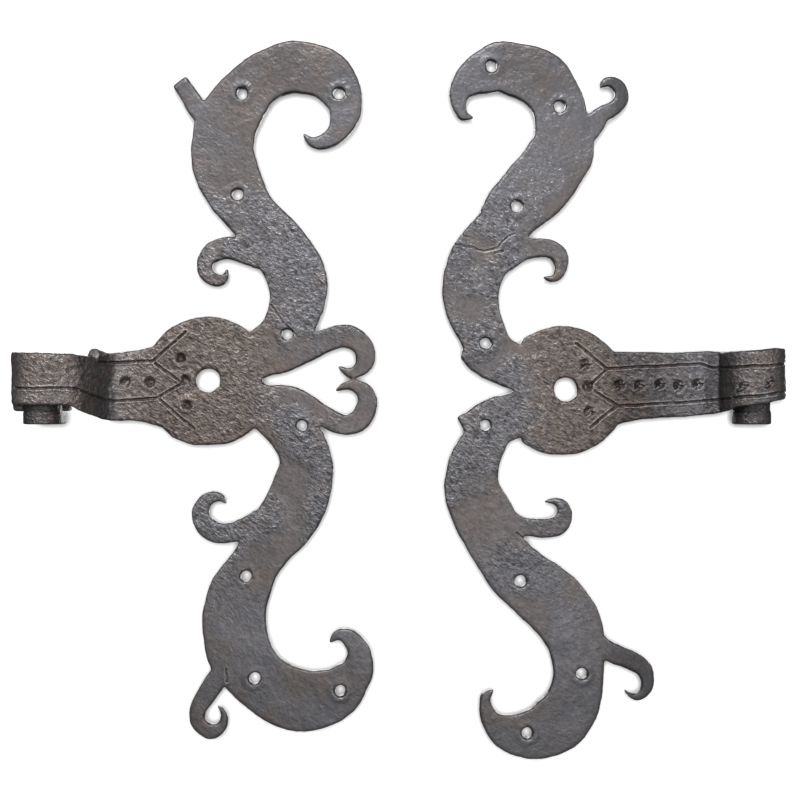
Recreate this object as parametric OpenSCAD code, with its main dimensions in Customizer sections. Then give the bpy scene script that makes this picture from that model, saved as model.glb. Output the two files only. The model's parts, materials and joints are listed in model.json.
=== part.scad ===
// Pair of forged strap-hinge leaves with horn scrolls, hung on their pintles.
// Upright as hung: +Z up along the pins, front faces towards -Y, door face on Y = 0.
// Origin: where the left pintle's spike enters the frame, straight behind the left pin.

/* [Leaf pattern] */
// Height of the scroll pattern of a leaf, from hook to hook
leaf_h = 346; // [290:1:420]
// Thickness of the plates and horns
plate_t = 4.5; // [3:0.1:6]
// Radius of the round centre plate
plate_r = 32.5; // [27:0.5:39]
// Distance between the left and the right pin
pin_span = 351.2; // [335:0.5:430]

/* [Strap and eye] */
// Distance from the left pin to the left bolt hole
left_reach = 79.2; // [65:0.5:95]
// Distance from the right pin to the right bolt hole
right_reach = 93; // [76:0.5:110]
// Thickness of the left eye and crank
left_eye_wall = 6; // [5:0.1:7.5]
// Thickness of the right eye
right_eye_wall = 7.3; // [6:0.1:9]
// Distance of the left pin in front of the door face
left_pin_out = 17; // [14:0.5:20]
// Distance of the right pin in front of the door face
right_pin_out = 3.5; // [2.9:0.1:4.5]

/* [Holes] */
// Diameter of the bolt holes
bolt_d = 12; // [10:0.1:14.5]
// Diameter of the nail holes
nail_d = 5.5; // [4:0.1:7]

/* [Pintles] */
// Diameter of the pins
pin_d = 18; // [15:0.1:22]
// Radial clearance between a pin and its eye
pin_gap = 0.1; // [0.05:0.01:0.1]
// Diameter of the rivet foot under each pin
foot_d = 11; // [9:0.1:13.2]
// Height of the spikes
spike_h = 6; // [5:0.1:8]
// Length of the spikes behind the door face
spike_l = 62; // [50:1:80]
// Clearance between the eyes and the spikes they rest above
seat_gap = 0.3; // [0.2:0.05:0.5]

/* [Hidden] */
$fn = 64;

iron = [0.25, 0.23, 0.21];
horn_iron = [0.24, 0.235, 0.23];
pin_iron = [0.30, 0.29, 0.28];
pattern_h = 346;             // height that the stations below are drawn for
k = leaf_h / pattern_h;
eps = 0.01;
overshoot = 1;               // how far a cut runs past both faces

bore_r = pin_d / 2 + pin_gap;
left_roll_r = bore_r + left_eye_wall;
left_roll_mid = bore_r + left_eye_wall / 2;
right_roll_r = bore_r + right_eye_wall;
roll_depth = max(left_roll_r, right_roll_r) + max(left_pin_out, right_pin_out);
spike_head_r = pin_d / 2 + 0.5;
pin_recess = 0.5;            // how far the pins end below the tops of the eyes
left_weld_x = 26.8;          // from the bolt hole to the straight weld line of the horns
right_weld_x = 22;

// Ends of the eyes along the pins, measured from each leaf's bolt hole
left_eye_top = 13.5;
left_eye_low = -12.5;
left_tail_low = -15.5;       // the rolled end hangs lower than the front of the eye
finger_low = 7.6;            // lower edge of the bent finger at the foot of the left crank
finger_h = 6;
right_eye_top = 19.5;
right_eye_low = -11;

// Bolt holes and spikes
left_z = spike_h / 2 + seat_gap - left_tail_low;
right_z = left_z - 4.75;     // the right leaf hangs a little lower
right_spike_z = right_z + right_eye_low - seat_gap - spike_h / 2;

// Scroll stations: [along, up, half width] from the bolt hole of the leaf, root first, tip last
LEFT_UPPER_HORN = [
    [14, 6, 8], [26, 13, 12], [36.5, 21.5, 12.2], [42.7, 33, 13.4], [45, 44, 14.5], [42.8, 55.2, 14.8],
    [33.8, 69.5, 13.6], [22.3, 82.3, 12.9], [14.3, 93.5, 14.7], [8.9, 105, 15.8], [7.1, 116.5, 15.7],
    [9, 128, 15.3], [15.5, 139, 14.2], [23.5, 148.5, 12.9], [33.5, 154.5, 12.4], [44, 157, 12.8],
    [56.5, 154.5, 12.5], [64, 147.8, 11.2], [68.4, 137.7, 8.7], [67.4, 129.8, 6.9], [65, 124.5, 5.4],
    [60.7, 120.6, 4.2], [55.4, 118.9, 3], [51, 119.5, 2], [47.5, 123.5, 0.4]
];
LEFT_LOWER_HORN = [
    [14, -6, 8], [27.5, -13, 11], [39, -21.8, 12.2], [46, -31.6, 12.6], [49, -41, 13.3], [47.9, -50.3, 14.5],
    [44.2, -61, 15.1], [38, -71.4, 14.9], [30.5, -80.6, 13.8], [24.2, -90.8, 12.3], [18.4, -101, 14.1],
    [13.8, -112, 15.6], [13.2, -125, 16.1], [16, -137, 16], [22.5, -146.8, 14.8], [31, -154.3, 15],
    [41.5, -159.4, 15.9], [50.4, -160.5, 15.3], [58.7, -159, 14.3], [65.8, -155.1, 12.5],
    [70.8, -150.2, 10.2], [74.3, -145.3, 8.3], [75.6, -139.8, 6.6], [75, -135.2, 5.5], [72.5, -131.3, 4.6],
    [68.8, -128, 3.7], [64.5, -127.8, 2.6], [60.8, -131.5, 0.4]
];
LEFT_UPPER_SIDE_TENDRIL = [
    [36, 61, 8.5], [22.5, 63.5, 6.6], [14, 65.6, 5.6], [8.5, 66.4, 5.4], [2.5, 64.3, 5.1],
    [-1.5, 60.3, 4.2], [-1.7, 55.5, 3.8], [0, 52, 3.4], [3.7, 49.8, 3.1], [7.3, 50.3, 2.4],
    [9.2, 52.3, 1.3], [9.5, 55.8, 0.3]
];
LEFT_LOWER_SIDE_TENDRIL = [
    [38, -67, 8], [23, -72.5, 6.2], [14.5, -75.6, 5], [7, -76.8, 4.9], [0.5, -74.6, 5],
    [-3.2, -70, 4.6], [-3.8, -65.2, 4.2], [-1.5, -60.5, 3.4], [2.5, -58.4, 2.7], [6.2, -58.7, 1.9],
    [8.8, -62, 0.3]
];
LEFT_UPPER_TIP_STUB = [[12, 117, 5], [-3.5, 133.5, 4.9], [-8.6, 141, 4.6], [-14.5, 149.5, 4.1]];
LEFT_LOWER_TIP_TENDRIL = [
    [17, -134, 4.5], [6.9, -146.8, 5], [2.1, -153.2, 5.1], [-1.4, -158.6, 4.8], [-5.2, -165.3, 4],
    [-5, -171.5, 3.7], [-1.2, -175.3, 3.7], [2.8, -176, 3.5], [6.6, -173.8, 2.4], [8.2, -169.5, 1.8],
    [7, -165.7, 1.2], [4.2, -163.5, 0.3]
];
LEFT_UPPER_HEART_CURL = [
    [16, 5, 5], [27, 8, 6], [38, 11, 7], [49, 15, 5.9], [58.5, 19.6, 5.8], [67, 21.9, 5.5],
    [73, 20.8, 5.5], [77.3, 17, 5], [78.7, 11.5, 4.9], [76.8, 6.2, 4.1], [72, 3.4, 2.8], [68.2, 4.6, 1.5],
    [65, 6.8, 0.3]
];
LEFT_LOWER_HEART_CURL = [
    [16, -6, 5], [27, -8.5, 6], [38.5, -9, 6.4], [47.5, -12.3, 6.4], [54.5, -16, 5.3],
    [63.5, -21, 5.1], [70, -22.2, 5], [76.5, -18.8, 5.3], [79.6, -11.5, 4.9], [77.8, -5.9, 4.1],
    [72.8, -2.7, 2.8], [68, -3, 1.8], [63.5, -5.5, 0.3]
];
RIGHT_UPPER_HORN = [
    [-13, 6, 8], [-24, 10.5, 11], [-36, 18.5, 11], [-43, 31, 12], [-47.2, 43, 13.8], [-47.2, 53.5, 14.5],
    [-44, 63.2, 15], [-39.2, 71.3, 14.8], [-33.2, 79.3, 13.3], [-25.8, 90.2, 15], [-15.5, 100.6, 16.5],
    [-7.2, 110.7, 16.3], [-1.5, 121.5, 16.1], [-1.8, 133, 13.4], [-4.6, 144.5, 13], [-12.4, 155.5, 14.2],
    [-24, 160.3, 13.2], [-33.7, 161.5, 12.5], [-45.8, 156.4, 9.3], [-51.8, 151, 6.3], [-53.6, 145.6, 4.4],
    [-52.9, 140.6, 3.2], [-50.8, 137.3, 2.4], [-46, 136.2, 0.4]
];
RIGHT_LOWER_HORN = [
    [-13, -6, 8], [-24, -12, 11], [-35.8, -18.8, 10.8], [-42.8, -29.5, 11.6], [-46.6, -40.8, 12.9],
    [-46.8, -50.3, 13.9], [-43.3, -59.3, 14.8], [-38.5, -68.5, 15], [-34.6, -78.6, 13.8],
    [-24.9, -91.2, 14.6], [-13, -101, 16.3], [-2.8, -110.7, 16.5], [4, -122.4, 15.2],
    [6.2, -136.8, 12.9], [5.8, -148.8, 12.8], [2.5, -159.5, 13.8], [-5, -167.8, 14.3],
    [-14, -172.2, 12.9], [-23.8, -172.7, 10.9], [-32.2, -170.2, 8], [-38, -164.8, 4.6], [-40.5, -156.8, 2.6],
    [-39.5, -153.2, 2.2], [-36, -150, 0.3]
];
RIGHT_UPPER_SIDE_TENDRIL = [
    [-35, 62, 6.5], [-22.5, 69.5, 5.2], [-13.5, 71, 4.5], [-7, 70.5, 4.4], [-2.9, 66.8, 4.1],
    [-2.3, 61.7, 3.3], [-3.8, 57.5, 2.5], [-7, 55.3, 1.6], [-11.3, 56.5, 0.4]
];
RIGHT_LOWER_SIDE_TENDRIL = [
    [-38, -60, 6], [-24, -67.5, 4.6], [-17, -69, 4.5], [-10.5, -69.5, 4.7], [-4.5, -68.3, 4.8],
    [-0.6, -63.5, 4], [-1.2, -58.5, 3], [-5, -56, 1.8], [-10.7, -56.3, 0.3]
];
RIGHT_UPPER_TIP_TENDRIL = [
    [-1, 119, 7.5], [12.9, 131.6, 5.9], [18.5, 137.8, 4.3], [24.2, 141, 3.7], [27.8, 146, 3.7],
    [26.5, 151.8, 3.3], [22.3, 154.5, 2.6], [19, 153.5, 1.9], [17, 151, 0.3]
];
RIGHT_LOWER_TIP_TENDRIL = [
    [6, -121, 6], [20, -130.3, 4.9], [26.3, -133.3, 4.9], [33.8, -136.3, 4.7], [39.3, -140.3, 4],
    [41.3, -146, 3.3], [40, -150.8, 2.7], [36.3, -153.8, 2.1], [32.5, -153, 1.1], [29.3, -150, 0.3]
];

// Nail holes of each leaf: [along, up] from its bolt hole
LEFT_NAILS = [
    [16.8, 143.5], [65.5, 143.5], [14.5, 92.8], [39.5, 23],
    [46.8, -22.8], [19, -98], [23, -149.3], [66, -155.5]
];
RIGHT_NAILS = [
    [-37.3, 161.8], [-3, 141.8], [-24.5, 91.8], [-40, 23.3],
    [-40.5, -17.8], [-22.5, -95.8], [7.8, -142.3], [-19.5, -171.8]
];

// Jagged ends of the broken curls of the right leaf, root to break and back
RIGHT_UPPER_STUMP = [
    [-14, 9], [-38, 24], [-49.5, 24], [-51, 22.3], [-52.3, 15.8], [-48, 10.3], [-42, 6], [-33.5, 2.8],
    [-25, 0.5], [-14, 0.5]
];
RIGHT_LOWER_STUMP = [
    [-14, -9], [-40, -23], [-47.5, -22], [-51, -20.8], [-54.5, -13.8], [-50, -11.3], [-44, -6.8],
    [-36, -3.3], [-29, -2.3], [-14, -2.3]
];

// Point on a smooth curve through a, b, c, d at share s of the way from b to c
function curve_at(a, b, c, d, s) =
    b + 0.5 * s * (c - a + s * (2 * a - 5 * b + 4 * c - d + s * (3 * (b - c) + d - a)));

// Stations filled in with a smooth curve, in `steps` per gap
function smooth(p, steps = 4) = let (last = len(p) - 1) concat(
    [for (i = [0:last - 1], j = [0:steps - 1])
        curve_at(p[max(i - 1, 0)], p[i], p[i + 1], p[min(i + 2, last)], j / steps)],
    [p[last]]);

// Unit vector square to the curve at station i
function across(c, i) =
    let (d = c[min(i + 1, len(c) - 1)] - c[max(i - 1, 0)], run = norm([d[0], d[1]]))
    [-d[1], d[0]] / run;

// One edge of a ribbon: side 1 is the left edge, -1 the right one
function edge(c, side) =
    [for (i = [0:len(c) - 1]) [c[i][0], c[i][1]] + side * c[i][2] * across(c, i)];

function reversed(p) = [for (i = [len(p) - 1:-1:0]) p[i]];

// Drawn-out bar of changing width along its stations
module ribbon(stations, steps = 4) {
    c = smooth(stations, steps);
    polygon(concat(edge(c, 1), reversed(edge(c, -1))));
}

module scroll(stations) ribbon(k * stations);

// Flat iron with its back on the door face
module slab(t = plate_t) rotate([90, 0, 0]) linear_extrude(t) children();

module at_left_plate() translate([left_reach, 0, left_z]) children();
module at_right_plate() translate([pin_span - right_reach, 0, right_z]) children();

module nail_holes(places) for (p = places) translate(k * p) circle(d = nail_d);

// Round plate, cut off straight where the horns are welded on, to the right or to the left
module left_plate_outline() intersection() {
    translate([0, -0.8]) circle(r = plate_r);
    translate([left_weld_x - 2 * plate_r, -plate_r]) square([2 * plate_r, 2 * plate_r]);
}
module right_plate_outline() intersection() {
    translate([-2, -0.6]) circle(r = plate_r);
    translate([-right_weld_x, -plate_r]) square([2 * plate_r, 2 * plate_r]);
}

// Front view of the left strap, from the plate to the eye, in the plate's frame
module left_strap_outline() polygon([
    [0, 20], [-26, 17], [-35, 15], [-left_reach + 30, left_eye_top], [-left_reach + 29.5, finger_low],
    [-left_reach + 24, left_eye_top - 2.6], [-left_reach + 16, left_eye_top - 1.2],
    [-left_reach - left_roll_r - overshoot, left_eye_top],
    [-left_reach - left_roll_r - overshoot, left_eye_low],
    [-left_reach + 16, left_eye_low], [-left_reach + 20, left_eye_low - 3], [-left_reach + 28, -19.8],
    [-32.5, -21], [-23.5, -23.5], [-17.3, -29], [0, -20]
]);

// Front view of the right strap; its eye rises and narrows towards the outer end
module right_strap_outline() polygon([
    [0, 20], [17, 21.5], [24, 18.6], [right_reach - 16.5, 18.8], [right_reach - 7, right_eye_top - 0.8],
    [right_reach + right_roll_r + overshoot, right_eye_top + 1],
    [right_reach + right_roll_r + overshoot, right_eye_low + 6.5],
    [right_reach - 11, right_eye_low + 2], [right_reach - 14, right_eye_low], [right_reach - 18, -12.4],
    [57.5, -13.7], [38, -14.7], [26.5, -17.2], [19, -21.7], [0, -20]
]);

// Ring of iron around a pin, seen along the pin
module roll(outer_r) difference() {
    circle(r = outer_r);
    circle(r = bore_r);
}

// Tall crank of the left strap, seen along the pin: up from the door face and over the front of the pin
module left_crank() {
    front = left_pin_out + left_roll_mid;
    half = left_eye_wall / 2;
    flat = plate_t / 2;
    difference() {
        ribbon([
            [left_reach, -flat, flat], [left_roll_r + 26, -flat, flat],
            [left_roll_r + 18, -flat - 0.3, flat + 0.2], [left_roll_r + 13, -flat - 3.5, half],
            [left_roll_r + 10, -0.38 * front, half], [left_roll_r + 6.5, -0.64 * front, half],
            [left_roll_r + 0.5, -0.88 * front, half], [left_roll_r - 8, -0.985 * front, half],
            [0, -front, half]
        ], 5);
        translate([0, -left_pin_out]) circle(r = bore_r);
    }
}

// Finger split off the upper edge of the left strap and bent forward, seen along the pin
module left_finger() ribbon([
    [left_roll_r + 22, -plate_t / 2, plate_t / 2], [left_roll_r + 16, -plate_t / 2 - 0.6, 2.4],
    [left_roll_r + 12, -plate_t - 1.5, 2.8], [left_roll_r + 9.5, -plate_t - 6.5, 2.9]
]);

// Rolled end of the left strap behind the pin, open on the crank side
module left_tail() {
    translate([0, -left_pin_out]) {
        intersection() {
            roll(left_roll_r);
            translate([-2 * left_roll_r, 0]) square(2 * left_roll_r);
        }
        translate([-eps, bore_r + 0.3]) square([left_roll_r - 4.5, left_eye_wall - 0.3]);
    }
}

// Front half of the left eye, on the outer side of the pin
module left_front_roll() translate([0, -left_pin_out]) intersection() {
    roll(left_roll_r);
    translate([-2 * left_roll_r, -2 * left_roll_r]) square(2 * left_roll_r);
}

// Low crank and rolled eye of the right strap, seen along the pin, in the pin's frame
module right_roll() {
    valley = right_roll_r + 2.5;
    slit = 0.9;
    difference() {
        union() {
            translate([-right_reach, -plate_t]) square([right_reach - bore_r - 1, plate_t]);
            translate([0, -right_pin_out]) roll(right_roll_r);
            polygon([
                [-valley, -plate_t], [-right_roll_r - 0.2, -plate_t - 0.6], [-right_roll_r + 0.8, -plate_t - 2.5],
                [-right_roll_r + 3, -plate_t - 2.5], [-right_roll_r + 3, -plate_t / 2], [-valley, -plate_t / 2]
            ]);
        }
        translate([0, -right_pin_out]) circle(r = bore_r);
        translate([-2 * right_roll_r, 0]) square([2 * right_roll_r, slit]);
    }
}

// Cuts away everything within the outline, at the level of the plates
module plate_room() translate([0, overshoot, 0]) slab(plate_t + 2 * overshoot) children();

module bolt_hole() rotate([90, 0, 0])
    translate([0, 0, -overshoot]) cylinder(d = bolt_d, h = plate_t + 2 * overshoot);

module left_plate() color(iron) at_left_plate() difference() {
    slab() left_plate_outline();
    bolt_hole();
}

module right_plate() color(iron) at_right_plate() difference() {
    slab() right_plate_outline();
    bolt_hole();
}

module left_strap() color(iron) difference() {
    union() {
        translate([0, 0, left_z]) intersection() {
            translate([0, 0, -2 * plate_r]) linear_extrude(4 * plate_r) {
                left_crank();
                left_front_roll();
            }
            translate([left_reach, overshoot, 0]) slab(4 * roll_depth) left_strap_outline();
        }
        translate([0, 0, left_z + finger_low]) linear_extrude(finger_h) left_finger();
        translate([0, 0, left_z + left_tail_low])
            linear_extrude(left_eye_top - 0.5 - left_tail_low) left_tail();
    }
    at_left_plate() plate_room() left_plate_outline();
}

module right_strap() color(iron) difference() {
    translate([pin_span, 0, right_z]) intersection() {
        translate([0, 0, -2 * plate_r]) linear_extrude(4 * plate_r) right_roll();
        translate([-right_reach, 2 * roll_depth, 0]) slab(4 * roll_depth) right_strap_outline();
    }
    at_right_plate() plate_room() right_plate_outline();
}

// Horns, less the plate they are welded to
module left_upper_horn() color(horn_iron) at_left_plate() slab() difference() {
    scroll(LEFT_UPPER_HORN);
    left_plate_outline();
    nail_holes(LEFT_NAILS);
}
module left_lower_horn() color(horn_iron) at_left_plate() slab() difference() {
    scroll(LEFT_LOWER_HORN);
    scroll(LEFT_UPPER_HORN);
    left_plate_outline();
    nail_holes(LEFT_NAILS);
}
module right_upper_horn() color(horn_iron) at_right_plate() slab() difference() {
    scroll(RIGHT_UPPER_HORN);
    right_plate_outline();
    nail_holes(RIGHT_NAILS);
}
module right_lower_horn() color(horn_iron) at_right_plate() slab() difference() {
    scroll(RIGHT_LOWER_HORN);
    scroll(RIGHT_UPPER_HORN);
    right_plate_outline();
    nail_holes(RIGHT_NAILS);
}

// Tendrils, less the horn they spring from
module tendril(stations, horn) color(horn_iron) slab() difference() {
    scroll(stations);
    scroll(horn);
}
module left_upper_side_tendril() at_left_plate() tendril(LEFT_UPPER_SIDE_TENDRIL, LEFT_UPPER_HORN);
module left_lower_side_tendril() at_left_plate() tendril(LEFT_LOWER_SIDE_TENDRIL, LEFT_LOWER_HORN);
module left_upper_tip_stub() at_left_plate() tendril(LEFT_UPPER_TIP_STUB, LEFT_UPPER_HORN);
module left_lower_tip_tendril() at_left_plate() tendril(LEFT_LOWER_TIP_TENDRIL, LEFT_LOWER_HORN);
module right_upper_side_tendril() at_right_plate() tendril(RIGHT_UPPER_SIDE_TENDRIL, RIGHT_UPPER_HORN);
module right_lower_side_tendril() at_right_plate() tendril(RIGHT_LOWER_SIDE_TENDRIL, RIGHT_LOWER_HORN);
module right_upper_tip_tendril() at_right_plate() tendril(RIGHT_UPPER_TIP_TENDRIL, RIGHT_UPPER_HORN);
module right_lower_tip_tendril() at_right_plate() tendril(RIGHT_LOWER_TIP_TENDRIL, RIGHT_LOWER_HORN);

// Heart curls of the left leaf, less the plate and the horns beside them
module left_upper_heart_curl() color(iron) at_left_plate() slab() difference() {
    scroll(LEFT_UPPER_HEART_CURL);
    scroll(LEFT_UPPER_HORN);
    left_plate_outline();
    nail_holes(LEFT_NAILS);
}
module left_lower_heart_curl() color(iron) at_left_plate() slab() difference() {
    scroll(LEFT_LOWER_HEART_CURL);
    scroll(LEFT_LOWER_HORN);
    scroll(LEFT_UPPER_HEART_CURL);
    left_plate_outline();
    nail_holes(LEFT_NAILS);
}

// Broken heart curls of the right leaf
module right_upper_heart_stump() color(iron) at_right_plate() slab() difference() {
    polygon(k * RIGHT_UPPER_STUMP);
    scroll(RIGHT_UPPER_HORN);
    right_plate_outline();
    nail_holes(RIGHT_NAILS);
}
module right_lower_heart_stump() color(iron) at_right_plate() slab() difference() {
    polygon(k * RIGHT_LOWER_STUMP);
    scroll(RIGHT_LOWER_HORN);
    right_plate_outline();
    nail_holes(RIGHT_NAILS);
}

// Round pin with a thinner foot that is riveted through the spike; height is the pin above the spike
module pintle_pin(height) color(pin_iron) {
    translate([0, 0, spike_h / 2]) cylinder(d = pin_d, h = height);
    translate([0, 0, -spike_h / 2]) cylinder(d = foot_d, h = spike_h + eps);
}

// Flat spike under the pin, driven into the frame; pin_out is the pin's distance from the frame
module pintle_spike(pin_out) color(pin_iron) translate([0, 0, -spike_h / 2]) difference() {
    union() {
        cylinder(r = spike_head_r, h = spike_h);
        linear_extrude(spike_h) polygon([
            [-spike_head_r + 2.5, 0], [spike_head_r - 2.5, 0], [spike_head_r - 2.5, pin_out + spike_l / 3],
            [0.8, pin_out + spike_l], [-0.8, pin_out + spike_l], [-spike_head_r + 2.5, pin_out + spike_l / 3]
        ]);
    }
    translate([0, 0, -overshoot]) cylinder(d = foot_d, h = spike_h + 2 * overshoot);
}

module at_left_pin() translate([0, -left_pin_out, 0]) children();
module at_right_pin() translate([pin_span, -right_pin_out, right_spike_z]) children();

module left_pintle_pin() at_left_pin() pintle_pin(left_z + left_eye_top - spike_h / 2 - pin_recess);
module right_pintle_pin() at_right_pin()
    pintle_pin(right_z + right_eye_top - right_spike_z - spike_h / 2 - pin_recess);
module left_pintle_spike() at_left_pin() pintle_spike(left_pin_out);
module right_pintle_spike() at_right_pin() pintle_spike(right_pin_out);

left_plate();
left_strap();
left_upper_horn();
left_lower_horn();
left_upper_side_tendril();
left_lower_side_tendril();
left_upper_tip_stub();
left_lower_tip_tendril();
left_upper_heart_curl();
left_lower_heart_curl();
right_plate();
right_strap();
right_upper_horn();
right_lower_horn();
right_upper_side_tendril();
right_lower_side_tendril();
right_upper_tip_tendril();
right_lower_tip_tendril();
right_upper_heart_stump();
right_lower_heart_stump();
left_pintle_pin();
left_pintle_spike();
right_pintle_pin();
right_pintle_spike();
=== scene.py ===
# Strap hinge: a pair of forged scroll leaves that swing on spiked pintles.
# Metres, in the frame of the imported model: +Z up along the pins, front faces towards -Y.
import json
import math

import bmesh
import bpy
import numpy as np
from mathutils import Matrix, Vector


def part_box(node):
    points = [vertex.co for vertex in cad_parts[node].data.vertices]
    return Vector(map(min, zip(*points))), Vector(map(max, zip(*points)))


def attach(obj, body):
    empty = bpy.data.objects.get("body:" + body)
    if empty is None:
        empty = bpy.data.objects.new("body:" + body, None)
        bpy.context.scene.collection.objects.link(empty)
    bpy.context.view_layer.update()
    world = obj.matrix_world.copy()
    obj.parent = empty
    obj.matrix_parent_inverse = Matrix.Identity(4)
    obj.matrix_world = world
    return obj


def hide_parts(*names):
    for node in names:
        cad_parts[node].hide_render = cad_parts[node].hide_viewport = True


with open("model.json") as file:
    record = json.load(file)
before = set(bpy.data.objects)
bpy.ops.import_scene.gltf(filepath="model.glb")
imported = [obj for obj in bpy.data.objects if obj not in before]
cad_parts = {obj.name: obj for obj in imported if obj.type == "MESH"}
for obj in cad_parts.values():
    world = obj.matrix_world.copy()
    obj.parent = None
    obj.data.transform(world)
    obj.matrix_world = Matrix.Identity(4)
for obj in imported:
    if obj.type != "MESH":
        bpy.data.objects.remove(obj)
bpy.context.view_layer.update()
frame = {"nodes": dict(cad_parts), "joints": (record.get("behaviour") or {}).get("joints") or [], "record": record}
mm = 0.001


# Camera: square to the door face and level with the middle of the pair, from arm's length.
# At the front faces of the plates the view is a little wider than the pair.
middle_x, middle_z = 175.2 * mm, 8.8 * mm
face_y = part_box("left_plate")[0].y
camera_at = Vector((middle_x, -700 * mm, middle_z))
view_w = 400 * mm
camera = bpy.data.objects.new("camera", bpy.data.cameras.new("camera"))
bpy.context.scene.collection.objects.link(camera)
bpy.context.scene.camera = camera
camera.location = camera_at
camera.rotation_euler = (math.radians(90), 0, 0)
camera.data.sensor_width = 36
camera.data.lens = camera.data.sensor_width * (face_y - camera_at.y) / view_w


# Leaves: each is one forging of wrought iron. Bars are drawn out under the hammer into horns, tendrils
# and heart curls, welded to the round plate in the fire and dressed flat, so that the members run
# together without a step, their edges are soft and their outlines wander a little.
class Wire:
    """A socket of a node tree. Arithmetic on it adds the Math or Vector Math nodes that it takes."""

    def __init__(self, tree, socket=None):
        self.tree, self.socket = tree, socket

    def node(self, kind, settings=None, sockets=None, out=0):
        """Any node: its settings are set first, then a value or a Wire for each input socket."""
        made = self.tree.nodes.new(kind)
        for name, value in (settings or {}).items():
            setattr(made, name, value)
        for name, value in (sockets or {}).items():
            target = made.inputs[name]
            if isinstance(value, Wire):
                self.tree.links.new(value.socket, target)
            elif target.type == "VECTOR" and isinstance(value, (int, float)):
                target.default_value = (value, value, value)
            else:
                target.default_value = value
        return Wire(self.tree, made.outputs[out] if made.outputs else None)

    def also(self, out):
        """Another output of the same node."""
        return Wire(self.tree, self.socket.node.outputs[out])

    def work(self, operation, *sides):
        """One Math node, or one Vector Math node if any side is a vector or a colour."""
        vector = any(isinstance(s, tuple) or isinstance(s, Wire) and s.socket.type in ("VECTOR", "RGBA")
                     for s in sides)
        kind = "ShaderNodeVectorMath" if vector else "ShaderNodeMath"
        return self.node(kind, {"operation": operation}, dict(enumerate(sides)))

    def __add__(self, other):
        return self.work("ADD", self, other)

    def __radd__(self, other):
        return self.work("ADD", other, self)

    def __sub__(self, other):
        return self.work("SUBTRACT", self, other)

    def __rsub__(self, other):
        return self.work("SUBTRACT", other, self)

    def __mul__(self, other):
        return self.work("MULTIPLY", self, other)

    def __rmul__(self, other):
        return self.work("MULTIPLY", other, self)

    def __truediv__(self, other):
        return self.work("DIVIDE", self, other)

    def __rtruediv__(self, other):
        return self.work("DIVIDE", other, self)

    def dot(self, other):
        return self.node("ShaderNodeVectorMath", {"operation": "DOT_PRODUCT"},
                         {0: self, 1: other}, "Value")

    def length(self):
        return self.node("ShaderNodeVectorMath", {"operation": "LENGTH"}, {0: self}, "Value")

    def step(self, low, high, low_value=0.0, high_value=1.0):
        """Goes smoothly from low_value to high_value as this goes from low to high."""
        return self.node("ShaderNodeMapRange", {"interpolation_type": "SMOOTHSTEP"}, {
            "Value": self, "From Min": low, "From Max": high, "To Min": low_value, "To Max": high_value})

    def noise(self, size, detail=2.0, seed=0.0, out="Fac", roughness=0.5):
        """Noise over this position, in lumps of about this size."""
        return self.node("ShaderNodeTexNoise", {"noise_dimensions": "4D"}, {
            "Vector": self, "W": seed, "Scale": 1 / size, "Detail": detail, "Roughness": roughness}, out)


def geometry_tree(title, inputs, shape):
    """A Geometry Nodes tree with named inputs; shape(start, geometry, inputs) gives its geometry."""
    kinds = {float: "NodeSocketFloat", int: "NodeSocketInt", Vector: "NodeSocketVector",
             bpy.types.Object: "NodeSocketObject", bpy.types.Material: "NodeSocketMaterial"}
    tree = bpy.data.node_groups.new(title, "GeometryNodeTree")
    tree.interface.new_socket("Geometry", in_out="INPUT", socket_type="NodeSocketGeometry")
    for name, kind in {**inputs, "Iron": bpy.types.Material}.items():
        tree.interface.new_socket(name, in_out="INPUT", socket_type=kinds[kind])
    tree.interface.new_socket("Geometry", in_out="OUTPUT", socket_type="NodeSocketGeometry")
    start = Wire(tree)
    given = start.node("NodeGroupInput", out="Geometry")
    shaped = shape(start, given, {name: given.also(name) for name in inputs})
    whole = start.node("GeometryNodeRealizeInstances", sockets={"Geometry": shaped})
    done = start.node("GeometryNodeSetMaterial", sockets={
        "Geometry": whole, "Material": given.also("Iron")})
    start.node("NodeGroupOutput", sockets={"Geometry": done})
    return tree


def work_with(piece, tree, **values):
    """Adds the tree to the piece as a modifier, and sets its inputs: wave_size sets "Wave size"."""
    modifier = piece.modifiers.new(tree.name, "NODES")
    modifier.node_group = tree
    for name, value in values.items():
        socket = tree.interface.items_tree[name.replace("_", " ").capitalize()]
        modifier[socket.identifier] = value


def finished_mesh(piece, title):
    """The piece with all its modifiers, as a plain mesh."""
    graph = bpy.context.evaluated_depsgraph_get()
    mesh = bpy.data.meshes.new_from_object(piece.evaluated_get(graph), preserve_all_data_layers=True,
                                           depsgraph=graph)
    mesh.name = title
    piece.modifiers.clear()
    return mesh


def soft_edges(start, iron, given):
    """Names the member that each point belongs to, then rounds every edge."""
    place = start.node("GeometryNodeInputPosition")
    members = start.node("GeometryNodeObjectInfo", sockets={"Object": given["Members"]}, out="Geometry")
    which = start.node("GeometryNodeInputNamedAttribute", {"data_type": "INT"}, {"Name": "member"})
    nearest = start.node("GeometryNodeSampleNearestSurface", {"data_type": "INT"}, {
        "Mesh": members, "Value": which, "Sample Position": place})
    named = start.node("GeometryNodeStoreNamedAttribute", {"data_type": "INT", "domain": "POINT"}, {
        "Geometry": iron, "Name": "member", "Value": nearest})
    rounded = start.node("GeometryNodeBlurAttribute", {"data_type": "FLOAT_VECTOR"}, {
        "Value": place, "Iterations": given["Rounding"]})
    return start.node("GeometryNodeSetPosition", sockets={"Geometry": named, "Position": rounded})


noise_swing = 4               # noise seldom strays further than 1 / noise_swing from its middle value
hollow_passes = 4             # passes of smoothing that show how far a point lies in a hollow


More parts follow.
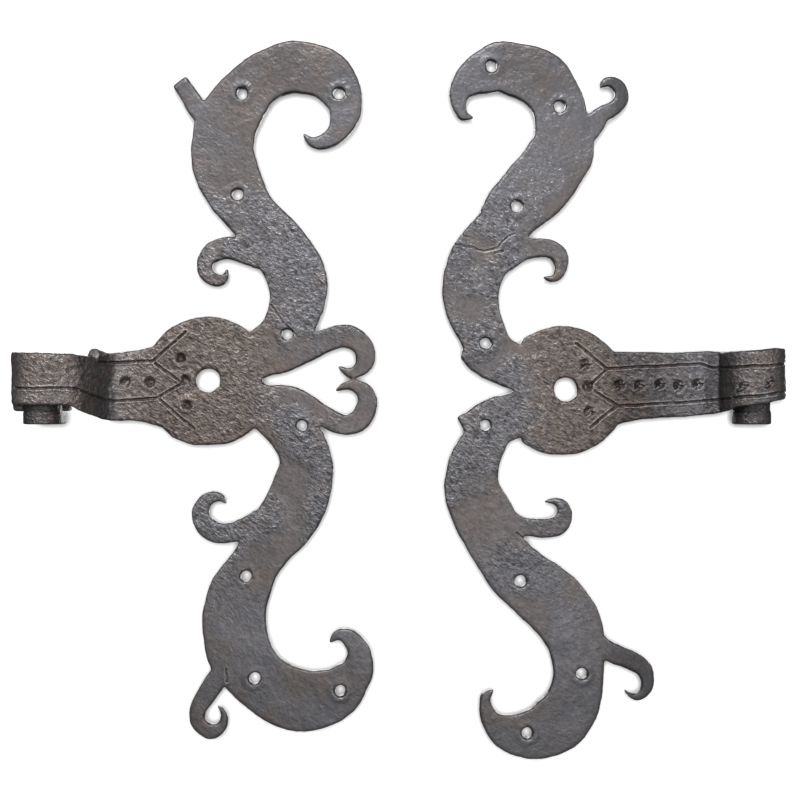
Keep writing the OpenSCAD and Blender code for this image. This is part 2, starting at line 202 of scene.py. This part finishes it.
def hammered(start, iron, given):
    """Lets the outline wander, beats waves and dents into every face, and clears the eye for its pin.

    It stores how far each point lies in a hollow, in mm, which is negative on an edge."""
    place = start.node("GeometryNodeInputPosition")
    seed = given["Seed"]
    wander = (place.noise(given["Wander size"], 3.0, seed, "Color", 0.6) - 0.5) * (1.0, 0.0, 1.0)
    moved = start.node("GeometryNodeSetPosition", sockets={
        "Geometry": iron, "Offset": wander * (noise_swing * given["Wander"])})
    outward = start.node("GeometryNodeInputNormal")
    wave = (place.noise(given["Wave size"], 1.0, seed + 7.3) - 0.5) * (noise_swing * given["Wave depth"])
    dent = (place.noise(given["Dent size"], 2.0, seed + 3.1) - 0.5) * (noise_swing * given["Dent depth"])
    beaten = start.node("GeometryNodeSetPosition", sockets={
        "Geometry": moved, "Offset": outward * (wave + dent)})
    away = (place - given["Pin axis"]) * (1.0, 1.0, 0.0)
    short = start.work("MAXIMUM", given["Bore radius"] - away.length(), 0.0)
    cleared = start.node("GeometryNodeSetPosition", sockets={
        "Geometry": beaten, "Offset": start.work("NORMALIZE", away) * short})
    around = start.node("GeometryNodeBlurAttribute", {"data_type": "FLOAT_VECTOR"}, {
        "Value": place, "Iterations": hollow_passes})
    return start.node("GeometryNodeStoreNamedAttribute", {"data_type": "FLOAT", "domain": "POINT"}, {
        "Geometry": cleared, "Name": "hollow", "Value": (around - place).dot(outward) / mm})


soft_edges_tree = geometry_tree(
    "soft_edges", {"Members": bpy.types.Object, "Rounding": int}, soft_edges)
hammered_tree = geometry_tree("hammered", {
    "Wander size": float, "Wander": float, "Wave size": float, "Wave depth": float,
    "Dent size": float, "Dent depth": float, "Seed": float, "Pin axis": Vector, "Bore radius": float},
    hammered)

voxel = 0.4 * mm
same_point = 1e-6             # corners nearer than this are one corner
weld_lap = 0.1 * mm           # how far each member is grown, so that neighbours overlap at the weld
edge_rounding = 16            # passes of smoothing, each over one voxel


def joined_members(title, nodes, lap):
    """The CAD members as closed shells in one object, each face marked with its member's number."""
    whole = bmesh.new()
    for number, node in enumerate(nodes):
        member = bmesh.new()
        member.from_mesh(frame["nodes"][node].data)
        bmesh.ops.remove_doubles(member, verts=member.verts, dist=same_point)
        member.normal_update()
        for vert in member.verts:
            vert.co += vert.normal * lap
        layer = member.faces.layers.int.new("member")
        for face in member.faces:
            face[layer] = number
        shell = bpy.data.meshes.new(node)
        member.to_mesh(shell)
        member.free()
        whole.from_mesh(shell)
        bpy.data.meshes.remove(shell)
    mesh = bpy.data.meshes.new(title)
    whole.to_mesh(mesh)
    whole.free()
    piece = bpy.data.objects.new(title, mesh)
    bpy.context.scene.collection.objects.link(piece)
    return piece


def blank(body, rounding=edge_rounding):
    """A body's members, set to be welded into one skin with soft edges, and the members themselves."""
    nodes = frame["record"]["behaviour"]["bodies"][body]
    piece = joined_members(body + "_blank", nodes, weld_lap)
    members = joined_members(body + "_members", nodes, 0.0)
    weld = piece.modifiers.new("weld", "REMESH")
    weld.mode = "VOXEL"
    weld.voxel_size = voxel
    weld.use_smooth_shade = True
    work_with(piece, soft_edges_tree, members=members, rounding=rounding)
    return piece, members


root_taper = 0.8              # the bar end's radius at its root, as a share of that at its tip


def thick_end(piece, start, end, radius):
    """Adds a round bar end to a blank, before it is welded into one skin."""
    start, end = Vector(start) * mm, Vector(end) * mm
    shape = bmesh.new()
    shape.from_mesh(piece.data)
    turned = (end - start).to_track_quat("Z", "Y").to_matrix().to_4x4()
    bmesh.ops.create_cone(
        shape, cap_ends=True, segments=32, radius1=radius * root_taper, radius2=radius,
        depth=(end - start).length, matrix=Matrix.Translation((start + end) / 2) @ turned)
    shape.to_mesh(piece.data)
    shape.free()


left_leaf, left_members = blank("left_leaf")
# The strap's upper rib ends in a finger that is bent forward at the foot of the crank.
thick_end(left_leaf, start=(29.0, -2.5, 29.2), end=(24.0, -14.8, 31.3), radius=3.5 * mm)
right_leaf, right_members = blank("right_leaf")


# Plates and straps: the maker dressed the front of each strap with chisel lines that end in a chevron
# on the plate, and set a row of punched dimples between them. The lines run on over crank and eye.
uneven_size = 2.5 * mm        # the length over which a mark changes from deep to faint


def tool_mark(element):
    """A shape for geometry_tree that sinks marks along the edges or at the points of the object Marks.

    Depth falls off from Flat to 1, as shares of Reach, and a low lip stands round the mark. Sides is 0
    for marks in the front alone, and 1 for marks that cut through the sides as well."""
    def shape(start, iron, given):
        place = start.node("GeometryNodeInputPosition")
        marks = start.node("GeometryNodeObjectInfo", sockets={"Object": given["Marks"]}, out="Geometry")
        from_mark = start.node("GeometryNodeProximity", {"target_element": element}, {
            "Geometry": marks, "Sample Position": place * (1.0, 0.0, 1.0)}, "Distance")
        reach = from_mark / given["Reach"]
        outward = start.node("GeometryNodeInputNormal")
        front = start.work("MAXIMUM", outward.dot((0.0, -1.0, 0.0)).step(-0.3, 0.2), given["Sides"])
        sunk = reach.step(given["Flat"], 1.0, 1.0, 0.0)
        # The lip rises at the mark's edge and dies away at twice its reach.
        lip = reach.step(0.75, 1.1) * reach.step(1.2, 2.0, 1.0, 0.0)
        uneven = place.noise(uneven_size, 1.0, 5.5).step(0.25, 0.6, 0.4, 1.0)
        height = given["Lip"] * lip * uneven - given["Depth"] * sunk * uneven
        return start.node("GeometryNodeSetPosition", sockets={
            "Geometry": iron, "Offset": outward * (height * front)})
    return shape


mark_inputs = {"Marks": bpy.types.Object, "Reach": float, "Flat": float, "Depth": float, "Lip": float,
               "Sides": float}
chisel_tree = geometry_tree("chisel", mark_inputs, tool_mark("EDGES"))
punch_tree = geometry_tree("punch", mark_inputs, tool_mark("POINTS"))

mounts = {mount["name"]: Vector(mount["pos_m"]) for mount in frame["record"]["mounts"]}
left_hole, right_hole = mounts["left_bolt_hole"], mounts["right_bolt_hole"]


def marks(title, centre, lines=(), points=()):
    """Lines and points, (across, up) in mm from a leaf's bolt hole, as an object on the door face."""
    def on_face(line):
        return [(centre.x + across * mm, 0.0, centre.z + up * mm) for across, up in line]

    verts, edges = on_face(points), []
    for line in lines:
        edges += [(len(verts) + i, len(verts) + i + 1) for i in range(len(line) - 1)]
        verts += on_face(line)
    mesh = bpy.data.meshes.new(title)
    mesh.from_pydata(verts, edges, [])
    piece = bpy.data.objects.new(title, mesh)
    bpy.context.scene.collection.objects.link(piece)
    return piece


left_lines = marks("left_lines", left_hole, lines=[
    [(-52, 8.6), (-40, 8.9), (-27.7, 9.3), (-11, 24)],
    [(-26.5, 8.2), (-13, -1.6), (-25.7, -9)],
    [(-90, -4.2), (-64, -4.2), (-59.2, -5.3), (-54.5, -7.8), (-50, -9.8), (-46.5, -10.4), (-25.3, -9),
     (-6.7, -24.5)],
])
left_dimples = marks("left_dimples", left_hole, points=[
    (-41.3, -1), (-29.5, -1), (-13.8, 10.8), (-11.3, 0), (-10.5, -12.5),
])
left_crank_dimples = marks("left_crank_dimples", left_hole, points=[
    (-72.5, 4.8), (-62.6, 4), (-56.8, 1.1), (-53.9, 0.1), (-51.3, -1.6), (-49, -3.2),
])
right_lines = marks("right_lines", right_hole, lines=[
    [(5, 23), (20.5, 10.2), (67, 12.9), (73.5, 10.5), (97, 11.4), (111, 13.2)],
    [(20.5, 10.2), (12.5, 2.8)],
    [(14, -0.6), (25.6, -8), (67, -6), (74, -5.1), (111, -1.2)],
    [(25.6, -8), (12, -19)],
])
right_dimples = marks("right_dimples", right_hole, points=[
    (9.5, 12.5), (10.6, 1.8), (11.5, -11.3), (26.5, 2.3), (36.5, 2), (46.5, 2.8), (56, 1.8), (65.5, 2.8),
])
right_eye_dimples = marks("right_eye_dimples", right_hole, points=[
    (79.3, 1.1), (84.7, 1.1), (97.5, 3.1),
])
# On the right strap the punch left a small S-shaped ridge at the bottom of most dimples.
ridge_s = ((2.4, 1.4), (0.6, 1.9), (-0.3, 0.9), (1.2, 0.2), (0.4, -1.1), (-1.3, -1.7))
ridge_places = (
    (9.5, 12), (11.5, -12), (26.5, 1.8), (36.5, 1.5), (46.5, 2.3), (56, 1.3), (65.5, 2.3), (84.7, 1.1),
    (97.5, 3.1),
)
right_ridges = marks("right_ridges", right_hole, lines=[
    [(x + across, z + up) for across, up in ridge_s] for x, z in ridge_places])
for leaf, lines, dimples, faint in (
        (left_leaf, left_lines, left_dimples, left_crank_dimples),
        (right_leaf, right_lines, right_dimples, right_eye_dimples)):
    work_with(leaf, chisel_tree, marks=lines, reach=0.85 * mm, flat=0.0, depth=0.9 * mm, lip=0.32 * mm)
    work_with(leaf, punch_tree, marks=dimples, reach=3.1 * mm, flat=0.15, depth=1.9 * mm, lip=0.35 * mm)
    work_with(leaf, punch_tree, marks=faint, reach=2.4 * mm, flat=0.0, depth=0.55 * mm, lip=0.1 * mm)
work_with(right_leaf, chisel_tree, marks=right_ridges, reach=0.9 * mm, flat=0.1, depth=-1.7 * mm,
          lip=0.0)


# Horns: long S-shaped bars, their nail holes punched through hot from the front, which left a low
# rim round each hole. Some weld seams never quite closed, and one edge of each leaf has a nick.
# The whole leaf, plate and strap included, is hammered over last.
left_nails = marks("left_nails", left_hole, points=[
    (16.8, 143.5), (65.5, 143.5), (14.5, 92.8), (39.5, 23),
    (46.8, -22.8), (19, -98), (23, -149.3), (66, -155.5),
])
right_nails = marks("right_nails", right_hole, points=[
    (-37.3, 161.8), (-3, 141.8), (-24.5, 91.8), (-40, 23.3),
    (-40.5, -17.8), (-22.5, -95.8), (7.8, -142.3), (-19.5, -171.8),
])
left_nicks = marks("left_nicks", left_hole, points=[(29.5, 132)])
right_nicks = marks("right_nicks", right_hole, points=[(-42.8, 88.3)])
left_seams = marks("left_seams", left_hole, lines=[
    [(31.5, 37.5), (37, 30), (45, 21)], [(9.5, -151), (9, -144.5)],
])
right_seams = marks("right_seams", right_hole, lines=[
    [(-57.5, 76.4), (-53.5, 79.6), (-51, 77.2), (-48.5, 76.3)],
    [(-56, 72.6), (-52.5, 72.4), (-50, 71.6), (-46.5, 71.3), (-44, 70), (-41, 69.3), (-37.5, 70),
     (-34, 70.8), (-32, 73.6), (-29.5, 76.3), (-26, 77.6)],
    [(-35.5, 68.4), (-31.5, 69.3)],
    [(-25, -71.3), (-22.5, -73.4), (-19, -75.5)],
])
for leaf, nails, seams, nicks in (
        (left_leaf, left_nails, left_seams, left_nicks),
        (right_leaf, right_nails, right_seams, right_nicks)):
    work_with(leaf, punch_tree, marks=nicks, reach=2.6 * mm, flat=0.0, depth=0.9 * mm, lip=0.0,
              sides=1.0)
    work_with(leaf, punch_tree, marks=nails, reach=3.6 * mm, flat=0.6, depth=0.35 * mm, lip=0.3 * mm)
    work_with(leaf, chisel_tree, marks=seams, reach=0.7 * mm, flat=0.0, depth=0.5 * mm, lip=0.12 * mm)

pin_clear = 0.15 * mm         # room between the pin and the hammered wall of its eye
pin_r = (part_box("left_pintle_pin")[1].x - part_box("left_pintle_pin")[0].x) / 2
for leaf, joint, seed in ((left_leaf, frame["joints"][0], 1.0), (right_leaf, frame["joints"][1], 2.0)):
    work_with(leaf, hammered_tree, wander_size=13 * mm, wander=0.5 * mm, wave_size=16 * mm,
              wave_depth=0.22 * mm, dent_size=3.0 * mm, dent_depth=0.08 * mm, seed=seed,
              pin_axis=joint["pos_m"], bore_radius=pin_r + pin_clear)


# Finishes: all of it is forge-black iron, rubbed with oil and worn. Plates and straps have a brown
# cast of old rust that fades along the heart curls, and horns and tendrils are cooler and greyer. The
# right strap is darker, and a painted shade, dark and bluish, lies in the valley across its crank.
black_cool, bright_cool = (0.015, 0.015, 0.019, 1.0), (0.285, 0.278, 0.300, 1.0)
black_warm, bright_warm = (0.018, 0.014, 0.012, 1.0), (0.30, 0.252, 0.225, 1.0)
rust_red = (0.075, 0.036, 0.026, 1.0)
half_bare = 0.55              # metallic: part bare iron, part oxide scale and old oil
stroke_tilt = math.radians(34)    # how far the grain of the hammer strokes is turned from level
stroke_stretch = 1.5          # how much longer than wide a stroke is


def forged_iron(title, seed, light=1.0):
    """Iron that is browner and rougher near the plates and straps than out on the horns.

    Light scales its brightness. Sizes are those of the marks, and masks run from 0 to 1."""
    material = bpy.data.materials.new(title)
    material.use_nodes = True
    tree = material.node_tree
    tree.nodes.clear()
    start = Wire(tree)

    # Patterns: grain, lumps and pits left by hammer and scale, and broader clouds and patches of tone.
    place = start.node("ShaderNodeTexCoord", out="Object")
    slanted = start.node("ShaderNodeMapping", {"vector_type": "TEXTURE"}, {
        "Vector": place, "Rotation": (0.0, stroke_tilt, 0.0), "Scale": (stroke_stretch, 1.0, 1.0)})
    grain = slanted.noise(1.15 * mm, 2.0, seed)
    lumps = slanted.noise(1.9 * mm, 2.0, seed + 1, roughness=0.65)
    pits = slanted.noise(2.8 * mm, 3.0, seed + 5, roughness=0.65).step(0.40, 0.32)
    cloud = place.noise(34 * mm, 2.0, seed + 2)
    patch = place.noise(9 * mm, 3.0, seed + 3, roughness=0.6)

    # Shape: hollows get painted shade, the convex edges of the front a painted highlight, and faces turned to the
    # side painted shade.
    bend = start.node("ShaderNodeAttribute", {"attribute_name": "hollow"}, out="Fac")
    turned = start.node("ShaderNodeSeparateXYZ", sockets={
        0: start.work("ABSOLUTE", start.node("ShaderNodeTexCoord", out="Normal"))}, out="Y")
    # Painted shade in hollows; on the straps rust also gathers in them.
    hollow = bend.step(0.02, 0.2)
    # Painted highlight on the convex edges and lips of the front.
    ridge = bend.step(-0.05, -0.16) * turned.step(0.75, 0.95)
    # Painted shade on faces turned to the side.
    side = turned.step(0.93, 0.55)

    # Places on the pair: across and upright run out from its middle, along from the right bolt hole.
    away = start.work("ABSOLUTE", place - (middle_x, 0.0, left_hole.z))
    across = start.node("ShaderNodeSeparateXYZ", sockets={0: away}, out="X")
    upright = across.also("Z")
    along = start.node("ShaderNodeSeparateXYZ", sockets={0: place - right_hole}, out="X")
    strap = across.step(52 * mm, 84 * mm) * upright.step(66 * mm, 36 * mm)
    eye = across.step(118 * mm, 150 * mm)
    # Painted shade, dark and bluish, in the valley where the right strap bends up into its eye.
    crank_valley_shade = along.step(67 * mm, 72 * mm) * along.step(79 * mm, 74 * mm)
    oiled = along.step(14 * mm, 30 * mm)
    tips = upright.step(126 * mm, 156 * mm)
    coarse = start.work("MAXIMUM", strap * (1 - crank_valley_shade * 0.5),
                        upright.step(135 * mm, 60 * mm) * cloud.step(0.40, 0.54))

    # Brightness, then colour, then the relief that is too fine for the mesh.
    tone = 0.46 + (grain - 0.5) * (0.4 + coarse * 0.4) + (lumps - 0.5) * (0.15 + coarse * 1.0)
    tone = tone + (cloud - 0.5) * 0.3 + (patch - 0.5) * 0.25 + ridge * 0.8 + eye * 0.14
    # Painted shade: hollows, side faces and the valley of the right crank are drawn darker.
    tone = tone * (1 - pits * coarse * 0.25) * (1 - hollow * 0.55) * (1 - side * 0.55) * (1 - crank_valley_shade * 0.4)
    tone = tone * (1 - oiled * (1 - eye * 0.5) * 0.5) * (1 - tips * 0.2)
    cool = start.node("ShaderNodeMix", {"data_type": "RGBA"}, {
        "Factor": tone * light, 6: black_cool, 7: bright_cool}, 2)
    warm = start.node("ShaderNodeMix", {"data_type": "RGBA"}, {
        "Factor": tone * light, 6: black_warm, 7: bright_warm}, 2)
    bluish = start.work("MAXIMUM", eye * 0.6, crank_valley_shade)
    brown = strap * (1 - bluish) * (1 - oiled * 0.6) * 0.9
    brown = brown + patch.step(0.42, 0.66) * 0.3 + cloud.step(0.55, 0.4) * 0.45
    iron = start.node("ShaderNodeMix", {"data_type": "RGBA"}, {"Factor": brown, 6: cool, 7: warm}, 2)
    rusty = (patch.step(0.55, 0.72) * (0.1 + strap * 0.4) + hollow * strap * 0.25) * (1 - eye * 0.6)
    colour = start.node("ShaderNodeMix", {"data_type": "RGBA"}, {
        "Factor": rusty, 6: iron, 7: rust_red}, 2)
    height = grain * (0.15 + coarse * 0.35) + lumps * (0.09 + coarse * 0.85) - pits * coarse * 0.2
    normal = start.node("ShaderNodeBump", sockets={"Strength": 1.0, "Distance": mm, "Height": height})
    shader = start.node("ShaderNodeBsdfPrincipled", sockets={
        "Base Color": colour, "Metallic": half_bare, "Roughness": lumps.step(0.3, 0.7, 0.48, 0.28),
        "Normal": normal})
    start.node("ShaderNodeOutputMaterial", sockets={"Surface": shader})
    return material


# Both irons of a leaf share one seed, so that the pattern runs on across the welds.
leaf_seed = 11.0
pintle_seed = 37.0
irons = {
    "brown_iron": forged_iron("brown_iron", leaf_seed),
    "grey_iron": forged_iron("grey_iron", leaf_seed),
    # The pintle iron is drawn at half brightness: painted shade, so that the pintles pass for the shade below the
    # eyes.
    "pintle_iron": forged_iron("pintle_iron", pintle_seed, light=0.5)}
slots = {row["node"]: row["material_slot"] for row in frame["record"]["subparts"]}


def close_welds(mesh):
    """Caps the openings where the neighbours were."""
    shell = bmesh.new()
    shell.from_mesh(mesh)
    for face in shell.faces:
        face.smooth = True
    rim = [edge for edge in shell.edges if edge.is_boundary]
    caps = bmesh.ops.holes_fill(shell, edges=rim, sides=0)["faces"]
    bmesh.ops.triangulate(shell, faces=caps)
    shell.to_mesh(mesh)
    shell.free()


weld_blending = 6             # passes that even out the line where two members meet


def part_members(mesh, body):
    """Parts a body's mesh of four-sided faces along its welds, into one closed piece for each member."""
    nodes = frame["record"]["behaviour"]["bodies"][body]
    points = np.empty(len(mesh.vertices) * 3)
    mesh.vertices.foreach_get("co", points)
    points = points.reshape(-1, 3)
    member = np.empty(len(points), np.int32)
    mesh.attributes["member"].data.foreach_get("value", member)
    hollow = np.empty(len(points), np.float32)
    mesh.attributes["hollow"].data.foreach_get("value", hollow)
    outward = np.empty(len(points) * 3, np.float32)
    mesh.vertices.foreach_get("normal", outward)
    outward = outward.reshape(-1, 3)
    ends = np.empty(len(mesh.edges) * 2, np.int32)
    mesh.edges.foreach_get("vertices", ends)
    ends = ends.reshape(-1, 2)
    quads = np.empty(len(mesh.loops), np.int32)
    mesh.loops.foreach_get("vertex_index", quads)
    quads = quads.reshape(-1, 4)

    # Each point starts as its own member's alone and takes on its neighbours' shares, pass by pass.
    # A face then goes to the member with the largest share in its four corners.
    share = np.zeros((len(nodes), len(points)))
    share[member, np.arange(len(points))] = 1.0
    for _ in range(weld_blending):
        for row in share:
            row += (np.bincount(ends[:, 0], row[ends[:, 1]], len(points))
                    + np.bincount(ends[:, 1], row[ends[:, 0]], len(points)))
        share /= share.sum(0)
    owner = share[:, quads].sum(2).argmax(0)

    # A piece keeps the hollows and normals of the whole forging, so that no weld shows as a line.
    for number, node in enumerate(nodes):
        used, corners = np.unique(quads[owner == number], return_inverse=True)
        piece_mesh = bpy.data.meshes.new(node + "_iron")
        piece_mesh.from_pydata(points[used], [], corners.reshape(-1, 4))
        close_welds(piece_mesh)
        piece_mesh.attributes.new("hollow", "FLOAT", "POINT").data.foreach_set("value", hollow[used])
        piece_mesh.normals_split_custom_set_from_vertices(outward[used])
        piece_mesh.materials.append(irons[slots[node]])
        piece = bpy.data.objects.new(node + "_iron", piece_mesh)
        bpy.context.scene.collection.objects.link(piece)
        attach(piece, body)
        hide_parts(node)


for leaf, body in ((left_leaf, "left_leaf"), (right_leaf, "right_leaf")):
    part_members(finished_mesh(leaf, body + "_forging"), body)
for spent in (
        left_leaf, right_leaf, left_members, right_members, left_lines, right_lines,
        left_dimples, right_dimples, left_crank_dimples, right_eye_dimples, right_ridges,
        left_nicks, right_nicks, left_nails, right_nails, left_seams, right_seams):
    bpy.data.objects.remove(spent)


# Pintles: a round pin with a thinner foot, riveted through a flat spike that is driven into the frame.
# Both are dressed more evenly than the leaves, and their edges are left crisper.
pintles, pintle_members = blank("frame_side", rounding=5)
work_with(pintles, hammered_tree, wander_size=9 * mm, wander=0.04 * mm, wave_size=9 * mm,
          wave_depth=0.05 * mm, dent_size=2.5 * mm, dent_depth=0.04 * mm, seed=3.0,
          pin_axis=(0.0, 0.0, 0.0), bore_radius=0.0)
part_members(finished_mesh(pintles, "pintles"), "frame_side")
for spent in (pintles, pintle_members):
    bpy.data.objects.remove(spent)


# Studio: a white board stands 1 mm behind the leaves and shows from the front only. The main light is
# high in front, with weaker ones at both sides and behind, and the room is white.
middle = (middle_x, 0.0, middle_z)


def area_lamp(title, at, size, power):
    """A square lamp, its side in metres and its power in watts, aimed at the middle of the pair."""
    lamp = bpy.data.objects.new(title, bpy.data.lights.new(title, "AREA"))
    bpy.context.scene.collection.objects.link(lamp)
    lamp.data.size = size
    lamp.data.energy = power
    lamp.location = at
    lamp.rotation_euler = (Vector(middle) - Vector(at)).to_track_quat("-Z", "Y").to_euler()


area_lamp("top_light", (0.05, -2.4, 1.9), 1.0, 53)
area_lamp("front_fill", (0.3, -1.5, -0.1), 0.9, 4)
area_lamp("left_light", (-1.3, -1.8, 0.9), 1.0, 13)
area_lamp("right_light", (1.9, -1.5, 0.7), 1.0, 13)
area_lamp("back_light", (-0.3, 2.3, 0.9), 1.5, 34)
area_lamp("back_fill", (0.9, 2.2, 0.1), 1.2, 16)

board_y = 1.0 * mm
board_reach = 0.7             # from the middle to each side, in metres
board = bpy.data.meshes.new("board")
board.from_pydata([(middle_x + side_x * board_reach, board_y, middle_z + side_z * board_reach)
                   for side_x, side_z in ((-1, -1), (1, -1), (1, 1), (-1, 1))], [], [(0, 1, 2, 3)])
board_piece = bpy.data.objects.new("board", board)
bpy.context.scene.collection.objects.link(board_piece)
board_piece.visible_diffuse = False
board_piece.visible_glossy = False
board_piece.visible_shadow = False

shade_reach = 3 * mm          # how far the soft shade beside the iron goes
glow_least = 0.05             # the board's own light, close in beside the iron
glow_more = 0.85              # and what is added to it in the open
board_white = bpy.data.materials.new("board_white")
board_white.use_nodes = True
board_white.node_tree.nodes.clear()
sheet = Wire(board_white.node_tree)
behind = sheet.node("ShaderNodeNewGeometry", out="Backfacing")
open_air = sheet.node("ShaderNodeAmbientOcclusion", {"samples": 16}, {"Distance": shade_reach}, "AO")
glow = sheet.node("ShaderNodeEmission", sockets={
    "Color": (1.0, 1.0, 1.0, 1.0), "Strength": glow_least + open_air * open_air * glow_more})
painted = sheet.node("ShaderNodeAddShader", sockets={
    0: sheet.node("ShaderNodeBsdfDiffuse", sockets={"Color": (0.5, 0.5, 0.5, 1.0)}), 1: glow})
clear = sheet.node("ShaderNodeBsdfTransparent")
sheet.node("ShaderNodeOutputMaterial", sockets={
    "Surface": sheet.node("ShaderNodeMixShader", sockets={0: behind, 1: painted, 2: clear})})
board.materials.append(board_white)

room_light = 0.14             # how strongly the room lights the iron, although it is seen as pure white
world = bpy.data.worlds.new("studio")
world.use_nodes = True
world.node_tree.nodes.clear()
sky = Wire(world.node_tree)
seen = sky.node("ShaderNodeLightPath", out="Is Camera Ray")
room = sky.node("ShaderNodeBackground", sockets={"Color": (1.0, 1.0, 1.0, 1.0), "Strength": room_light})
white = sky.node("ShaderNodeBackground", sockets={"Color": (1.0, 1.0, 1.0, 1.0), "Strength": 1.0})
sky.node("ShaderNodeOutputWorld", sockets={
    "Surface": sky.node("ShaderNodeMixShader", sockets={0: seen, 1: room, 2: white})})
bpy.context.scene.world = world
bpy.context.scene.view_settings.view_transform = "Standard"
